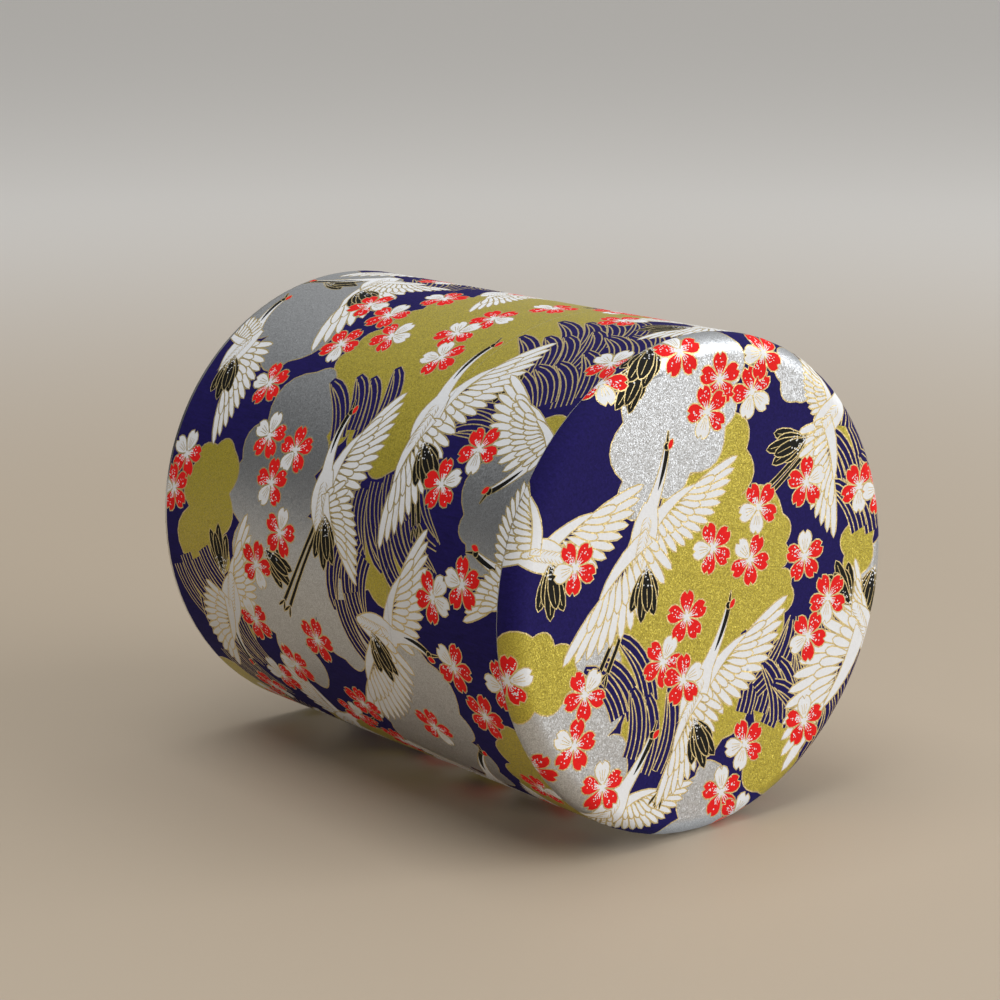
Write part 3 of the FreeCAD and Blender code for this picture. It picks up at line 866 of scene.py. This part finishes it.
for layer in layers_of(TOP_CLOUDS, TOP_STREAMS, TOP_PLUMES, TOP_CRANES, TOP_BLOSSOMS):
    top_shapes += layer
print("the top has", len(top_shapes), "outlines")

# %% [markdown]
# ## From outlines to faces
#
# Blender's constrained Delaunay triangulation turns overlapping outlines into triangles that follow every
# edge, and says which outlines each triangle lies in. The last of these is the ink that shows. An outline
# that meets itself can seem to hold far-off triangles, so it only counts inside its own box. Outlines
# that are covered would leave many needless triangles, so only the edges where the ink changes are kept.

# %% Find where the ink changes in one tile
CLOSE = 1e-5
STRAIGHT = 2e-4
INSIDE_OUTLINES = 1
WHOLE_HULL = 0


def box_of(points):
    """Left, right, bottom and top of some points."""
    xs = [point.x for point in points]
    ys = [point.y for point in points]
    return min(xs), max(xs), min(ys), max(ys)


def ink_map(border, boxed):
    """Points, triangles and inks of one tile, with every outline's edges in it."""
    left, right, bottom, top = box_of(border)
    corners = list(border)
    rings = [list(range(len(border)))]
    inks = [INKS.index("navy")]
    boxes = [(left, right, bottom, top)]
    for ink, ring, box in boxed:
        if box[1] < left or box[0] > right or box[3] < bottom or box[2] > top:
            continue
        rings.append(list(range(len(corners), len(corners) + len(ring))))
        corners += ring
        inks.append(ink)
        boxes.append(box)
    points, _, cells, _, _, sources = delaunay_2d_cdt(corners, [], rings, INSIDE_OUTLINES, CLOSE, True)
    inside = []
    shown = []
    for cell, source in zip(cells, sources):
        if 0 not in source:
            continue
        middle = (points[cell[0]] + points[cell[1]] + points[cell[2]]) / 3
        for number in sorted(source, reverse=True):
            box = boxes[number]
            if box[0] <= middle.x <= box[1] and box[2] <= middle.y <= box[3]:
                break
        inside.append(cell)
        shown.append(inks[number])
    return points, inside, shown


def ink_edges(points, cells, inks):
    """Edges between two inks and round the tile, with needless points on straight runs left out."""
    beside = {}
    for cell, ink in zip(cells, inks):
        for a, b in zip(cell, cell[1:] + cell[:1]):
            beside.setdefault((min(a, b), max(a, b)), []).append(ink)
    near = {}
    for (a, b), found in beside.items():
        if len(found) == 1 or found[0] != found[1]:
            near.setdefault(a, set()).add(b)
            near.setdefault(b, set()).add(a)
    for middle in list(near):
        if len(near[middle]) != 2:
            continue
        a, b = near[middle]
        run = points[b] - points[a]
        off = (points[middle] - points[a]).cross(run)
        if abs(off) < STRAIGHT * run.length and b not in near[a]:
            del near[middle]
            near[a].remove(middle)
            near[b].remove(middle)
            near[a].add(b)
            near[b].add(a)
    return near


blank_tile = [Vector((0, 0)), Vector((1, 0)), Vector((1, 1)), Vector((0, 1))]
print("a blank tile has", len(ink_map(blank_tile, [])[1]), "triangles")

# %% [markdown]
# ## Cutting the sheet
#
# The sheet is cut in narrow tiles, which bend along their edges when it is wrapped. In each tile the kept
# edges are triangulated once more, and each new triangle looks up its ink in the tile's ink map. Points
# that two tiles share become one point, so the sheet has no seams inside.

# %% Cut a sheet into inked triangles
SAME_POINT_DIGITS = 4


def cut_sheet(tiles, shapes):
    """Points, triangles and inks of a flat sheet whose tiles are given by their borders."""
    boxed = []
    for ink, outline in shapes:
        ring = outline if signed_area(outline) > 0 else outline[::-1]
        boxed.append((INKS.index(ink), ring, box_of(ring)))
    numbers = {}
    points = []
    faces = []
    face_inks = []
    for border in tiles:
        made, cells, inks = ink_map(border, boxed)
        near = ink_edges(made, cells, inks)
        order = {index: number for number, index in enumerate(near)}
        edges = [(order[a], order[b]) for a in near for b in near[a] if a < b]
        corners = [made[index] for index in near]
        kept, _, thin, _, _, _ = delaunay_2d_cdt(corners, edges, [], WHOLE_HULL, CLOSE, False)
        finder = BVHTree.FromPolygons([point.to_3d() for point in made], cells)
        for cell in thin:
            middle = (kept[cell[0]] + kept[cell[1]] + kept[cell[2]]) / 3
            hit = finder.ray_cast(Vector((middle.x, middle.y, 1)), -AXIS)[2]
            if hit is None:
                continue
            face = []
            for index in cell:
                key = (round(kept[index].x, SAME_POINT_DIGITS), round(kept[index].y, SAME_POINT_DIGITS))
                if key not in numbers:
                    numbers[key] = len(points)
                    points.append(kept[index])
                face.append(numbers[key])
            if len(set(face)) == 3:
                faces.append(face)
                face_inks.append(inks[hit])
    return points, faces, face_inks


print("a blank sheet of one tile has", len(cut_sheet([blank_tile], [])[1]), "triangles")

# %% [markdown]
# ## A map for baking
#
# Materials can be baked to one flat picture per piece, and that needs a UV map without overlaps. The
# sheet is drawn flat, so its own drawing is the best map. The plain faces of the rim and the back get one
# small cell each in a band below it.

# %% Lay out the bake map
BAKE_BAND = 0.06
CELL_CORNERS = ((0.1, 0.1), (0.9, 0.1), (0.9, 0.9), (0.1, 0.9))


def bake_map(mesh, flat_faces, plain_count):
    """Lays the printed faces out flat above a band that holds the plain faces, one small cell each."""
    places = []
    for face in flat_faces:
        for spot in face:
            places += [spot.x, BAKE_BAND + (1 - BAKE_BAND) * spot.y]
    columns = math.ceil(math.sqrt(plain_count / BAKE_BAND))
    cell = 1 / columns
    for number in range(plain_count):
        x = number % columns * cell
        y = number // columns * cell
        for u, v in CELL_CORNERS:
            places += [x + u * cell, y + v * cell]
    mesh.uv_layers.new(name="OFBake").uv.foreach_set("vector", places)


print("plain faces take", BAKE_BAND, "of the map")

# %% [markdown]
# ## Wrapping the sheet
#
# A wrapping function gives each flat point its place on the caddy and the direction that the surface
# faces there. Those directions become the mesh's own normals, so the tiles' edges don't show. The paper's
# thickness comes from a bare back and a narrow rim, which are added as plain faces. Modelling by hand
# could not give areas of ink this fine, so the mesh is filled from lists.

# %% Make a paper piece
def paper_piece(name, sheet, wrap, plain, body, node, flatten):
    """A paper object. plain holds the rim and back faces: each is (points in millimetres, normals). flatten
    gives the places of a printed face in the square that its map is baked to."""
    points, faces, inks = sheet
    spots = [wrap(point) for point in points]
    corners = [spot for spot, normal in spots]
    normals = [normal for spot, normal in spots]
    flat_faces = [flatten([points[index] for index in face]) for face in faces]
    for ring, ring_normals in plain:
        faces.append(list(range(len(corners), len(corners) + len(ring))))
        corners += ring
        normals += ring_normals
        inks.append(INKS.index("bare"))
    mesh = bpy.data.meshes.new(name)
    mesh.from_pydata([corner * MM for corner in corners], [], faces)
    for material in ink_materials:
        mesh.materials.append(material)
    mesh.polygons.foreach_set("material_index", inks)
    mesh.polygons.foreach_set("use_smooth", [True] * len(faces))
    mesh.normals_split_custom_set_from_vertices(normals)
    bake_map(mesh, flat_faces, len(plain))
    piece = bpy.data.objects.new(name, mesh)
    bpy.context.scene.collection.objects.link(piece)
    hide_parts(node)
    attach(piece, body)
    print(f"{name}: {len(faces)} faces")


print("each paper has", len(ink_materials), "materials")

# %% [markdown]
# ## The side papers
#
# The paper goes once round the tin and ends in a lap at the back, where it climbs over its own start. The
# body's and the lid's papers are cut from one sheet, so the print runs on across the join and hides it,
# as on the real caddy.

# %% Wrap a sheet round the side
COLUMNS = 72
ROUND = 2 * math.pi * RADIUS
LAP_END = math.radians(LAP_AZIMUTH - UP_AZIMUTH + 360) * RADIUS + LAP_WIDTH / 2
LAP_START = LAP_END - ROUND
LAP_FOLD = LAP_END - LAP_WIDTH
CLIMB = 1.0
PAPER_BACK = RADIUS - PAPER
strip_edges = [LAP_START + ROUND * column / COLUMNS for column in range(COLUMNS + 1)]
strip_edges = sorted(strip_edges + [LAP_FOLD, LAP_FOLD + CLIMB])


def outward(across):
    angle = up_turn + across / RADIUS
    return Vector((math.cos(angle), math.sin(angle), 0))


def face_radius(across):
    return RADIUS + PAPER * min(max((across - LAP_FOLD) / CLIMB, 0.0), 1.0)


def on_side(point):
    out = outward(point.x)
    return out * face_radius(point.x) + AXIS * point.y, out


print(f"the side is cut in {len(strip_edges) - 1} strips, {ROUND:.1f} mm in all")

# %% Make the side papers
JOIN_OVERLAP = 0.05
MAP_MARGIN = 0.02


def side_plain(low, high):
    """The bare faces of a side paper: its back, its two rims and the step at the end of its lap."""
    plain = []
    for left, right in zip(strip_edges, strip_edges[1:]):
        a = outward(left)
        b = outward(right)
        back = [b * PAPER_BACK + AXIS * low, a * PAPER_BACK + AXIS * low,
                a * PAPER_BACK + AXIS * high, b * PAPER_BACK + AXIS * high]
        plain.append((back, [-b, -a, -a, -b]))
        edge = [a * PAPER_BACK, a * face_radius(left), b * face_radius(right), b * PAPER_BACK]
        plain.append(([corner + AXIS * low for corner in reversed(edge)], [-AXIS] * 4))
        plain.append(([corner + AXIS * high for corner in edge], [AXIS] * 4))
    out = outward(LAP_END)
    start = out * RADIUS
    end = out * (RADIUS + PAPER)
    wall = [start + AXIS * low, start + AXIS * high, end + AXIS * high, end + AXIS * low]
    plain.append((wall, [AXIS.cross(out)] * 4))
    return plain


def side_paper(name, low, high, body, node, rows):
    """One side paper. rows is the number of lengths that its bake map cuts the long sheet into."""
    length = ROUND / rows

    def flatten(face):
        row = int((sum(point.x for point in face) / len(face) - LAP_START) / length)
        places = []
        for point in face:
            along = (point.x - LAP_START - row * length) / length
            up = MAP_MARGIN + (1 - 2 * MAP_MARGIN) * (point.y - low) / (high - low)
            places.append(Vector((along, (row + up) / rows)))
        return places

    tiles = []
    for left, right in zip(strip_edges, strip_edges[1:]):
        corners = ((left, low), (right, low), (right, high), (left, high))
        tiles.append([Vector(corner) for corner in corners])
    sheet = cut_sheet(tiles, side_shapes)
    paper_piece(name, sheet, on_side, side_plain(low, high), body, node, flatten)


body_top = body_high.z / MM + JOIN_OVERLAP
lid_bottom = lid_low.z / MM - JOIN_OVERLAP
side_paper("body_print", body_low.z / MM, body_top, "can", "body_paper", 2)
side_paper("lid_side_print", lid_bottom, lid_high.z / MM, "outer_lid", "lid_side_paper", 3)

# %% [markdown]
# ## The lid's top paper
#
# The round of paper is flat in the middle and bends down over the lid's rounded edge. Its outer part is
# cut in narrow sectors with rings, so it follows that bend, and its rim stops just short of the side
# paper. A pinhole is left in the middle of its back, so that all the faces there have four corners.

# %% Bend a sheet over the top
FLAT_REACH = RADIUS - SHOULDER
BEND_RINGS = 6
BEND_LENGTH = SHOULDER * math.pi / 2
TOP_REACH = FLAT_REACH + BEND_LENGTH + (TOP - SHOULDER - TOP_EDGE)


def profile(reach, depth):
    """Radius, height and slope of the top at a distance along the paper, some depth below its face."""
    turned = min(max((reach - FLAT_REACH) / SHOULDER, 0.0), math.pi / 2)
    straight = max(reach - FLAT_REACH - BEND_LENGTH, 0.0)
    radius = min(reach, FLAT_REACH) + (SHOULDER - depth) * math.sin(turned)
    height = TOP - SHOULDER + (SHOULDER - depth) * math.cos(turned) - straight
    return radius, height, turned


def on_top(point, depth=0.0):
    out = (ACROSS * point.x + FLOOR_UP * point.y).normalized()
    radius, height, turned = profile(point.length, depth)
    return out * radius + AXIS * height, out * math.sin(turned) + AXIS * math.cos(turned)


def arc(reach, first, last):
    return [polar(reach, 360 * step / COLUMNS) for step in range(first, last + 1)]


def flatten_top(face):
    return [Vector((0.5 + 0.5 * point.x / TOP_REACH, 0.5 + 0.5 * point.y / TOP_REACH)) for point in face]


print(f"the top paper is a round {2 * TOP_REACH:.1f} mm across before it is bent")

# %% Make the top paper
MIDDLE_REACH = 12
FLAT_RINGS = ((MIDDLE_REACH, 24, 12), (24, FLAT_REACH, 8))  # inner and outer reach, columns in a tile
PINHOLE = 0.001
bends = [FLAT_REACH + BEND_LENGTH * ring / BEND_RINGS for ring in range(BEND_RINGS + 1)]
top_tiles = [arc(MIDDLE_REACH, 0, COLUMNS - 1)]
for inner, outer, step in FLAT_RINGS:
    for first in range(0, COLUMNS, step):
        top_tiles.append(arc(outer, first, first + step) + arc(inner, first, first + step)[::-1])
top_plain = []
for first in range(COLUMNS):
    for near, far in zip(bends, bends[1:] + [TOP_REACH]):
        top_tiles.append(arc(far, first, first + 1) + arc(near, first, first + 1)[::-1])
    for near, far in zip([PINHOLE] + bends, bends + [TOP_REACH]):
        ring = arc(near, first, first + 1)[::-1] + arc(far, first, first + 1)
        under = [on_top(point, PAPER) for point in ring[::-1]]
        top_plain.append(([spot for spot, normal in under], [-normal for spot, normal in under]))
    a, b = arc(TOP_REACH, first, first + 1)
    rim = [on_top(a, PAPER)[0], on_top(b, PAPER)[0], on_top(b)[0], on_top(a)[0]]
    top_plain.append((rim, [-AXIS] * 4))
top_sheet = cut_sheet(top_tiles, top_shapes)
paper_piece("lid_top_print", top_sheet, on_top, top_plain, "outer_lid", "lid_top_paper", flatten_top)

# %% [markdown]
# ## Floor
#
# The caddy lies on a plain pale surface, which touches its side, so the floor is a plane along the
# caddy's axis. It is warm and darker near the caddy and paler far away; the paler far part is painted
# light, which makes up for the lamps' light falling off away from the caddy. From behind it is see-through,
# so that views from that side aren't blocked. It also lets through rays that have only come a few
# millimetres, so that the line where it touches the caddy isn't black from behind.

# %% Make the floor
FLOOR_SIZE = 12.0
FLOOR_GAP = 0.02
floor_middle = -FLOOR_UP * (RADIUS + FLOOR_GAP) * MM
floor_corners = []
for along, across in ((-1, -1), (1, -1), (1, 1), (-1, 1)):
    floor_corners.append(floor_middle + AXIS * along * FLOOR_SIZE + ACROSS * across * FLOOR_SIZE)
floor_mesh = bpy.data.meshes.new("floor")
floor_mesh.from_pydata(floor_corners, [], [(0, 1, 2, 3)])
if floor_mesh.polygons[0].normal.dot(FLOOR_UP) < 0:
    floor_mesh.flip_normals()
floor = bpy.data.objects.new("floor", floor_mesh)
bpy.context.scene.collection.objects.link(floor)
print("floor lies", FLOOR_GAP, "mm under the caddy's side")

# %% Give the floor its finish
# Colours of the floor: warm near the caddy, and paler far off as painted light where the lamps reach less.
NEAR_COLOUR = (0.46, 0.385, 0.295, 1)
FAR_PAINTED_LIGHT_COLOUR = (0.80, 0.785, 0.76, 1)
NEAR_REACH = 0.10
FAR_REACH = 0.9
FLOOR_ROUGHNESS = 0.6
TOUCH_CLEAR = 0.006
floor_material = bpy.data.materials.new("pale_floor")
floor_material.use_nodes = True
ground = floor_material.node_tree
shader = ground.nodes["Principled BSDF"]
shader.inputs["Roughness"].default_value = FLOOR_ROUGHNESS
place = add_node(ground, "ShaderNodeTexCoord")
reach = add_node(ground, "ShaderNodeVectorMath", operation="LENGTH")
far = ranged(ground, NEAR_REACH, FAR_REACH)
far.interpolation_type = "SMOOTHSTEP"
# Mix from the near colour to the far one, which paints light into the far floor.
shade = add_node(ground, "ShaderNodeMix", {"A": NEAR_COLOUR, "B": FAR_PAINTED_LIGHT_COLOUR}, data_type="RGBA")
side = add_node(ground, "ShaderNodeNewGeometry")
path = add_node(ground, "ShaderNodeLightPath")
short = add_node(ground, "ShaderNodeMath", {1: TOUCH_CLEAR}, operation="LESS_THAN")
open_to = add_node(ground, "ShaderNodeMath", operation="MAXIMUM")
clear = add_node(ground, "ShaderNodeBsdfTransparent")
pick = add_node(ground, "ShaderNodeMixShader")
wire(ground, place, "Object", reach, 0)
wire(ground, reach, "Value", far, "Value")
wire(ground, far, "Result", shade, "Factor")
wire(ground, shade, "Result", shader, "Base Color")
wire(ground, path, "Ray Length", short, 0)
wire(ground, side, "Backfacing", open_to, 0)
wire(ground, short, "Value", open_to, 1)
wire(ground, open_to, "Value", pick, "Fac")
wire(ground, shader, "BSDF", pick, 1)
wire(ground, clear, "BSDF", pick, 2)
wire(ground, pick, "Shader", ground.nodes["Material Output"], "Surface")
floor_mesh.materials.append(floor_material)
print("pale_floor:", len(ground.nodes), "nodes")

# %% [markdown]
# ## Light
#
# The caddy is lit by soft daylight from the right, on the lid's side. A large square lamp gives that
# light, a second one above shows the round of the barrel, and a sky that is pale towards the first lamp
# and dim behind fills the shadows. Area lamps are used because their shadows have soft edges.

# %% Light the scene
SKY_COLOUR = (1.0, 0.98, 0.95, 1)
DIM_SKY = 0.05
PALE_SKY = 0.84
BRIGHT_WAY = in_floor_axes(0.72, 0.58, 0.38).normalized()
LAMPS = (  # name, place along, across and up from the caddy's middle in metres, size, power
    ("window", (0.80, 0.58, 0.46), 0.9, 6.3),
    ("ceiling", (0.0, -0.22, 1.1), 0.8, 5.4),
)
world = bpy.data.worlds.new("studio")
world.use_nodes = True
sky = world.node_tree
background = sky.nodes["Background"]
background.inputs["Color"].default_value = SKY_COLOUR
place = add_node(sky, "ShaderNodeTexCoord")
towards = add_node(sky, "ShaderNodeVectorMath", {1: BRIGHT_WAY}, operation="DOT_PRODUCT")
strength = ranged(sky, -0.8, 1.0, DIM_SKY, PALE_SKY)
wire(sky, place, "Generated", towards, 0)
wire(sky, towards, "Value", strength, "Value")
wire(sky, strength, "Result", background, "Strength")
bpy.context.scene.world = world
caddy_middle = AXIS * TOP * MM / 2
for name, spot, size, power in LAMPS:
    light = bpy.data.lights.new(name, "AREA")
    light.size = size
    light.energy = power
    lamp = bpy.data.objects.new(name, light)
    bpy.context.scene.collection.objects.link(lamp)
    lamp.location = caddy_middle + in_floor_axes(*spot)
    lamp.rotation_mode = "QUATERNION"
    lamp.rotation_quaternion = (caddy_middle - lamp.location).to_track_quat("-Z", "Y")
bpy.context.scene.view_settings.view_transform = "Standard"
print(len(LAMPS), "soft lamps and a pale sky")
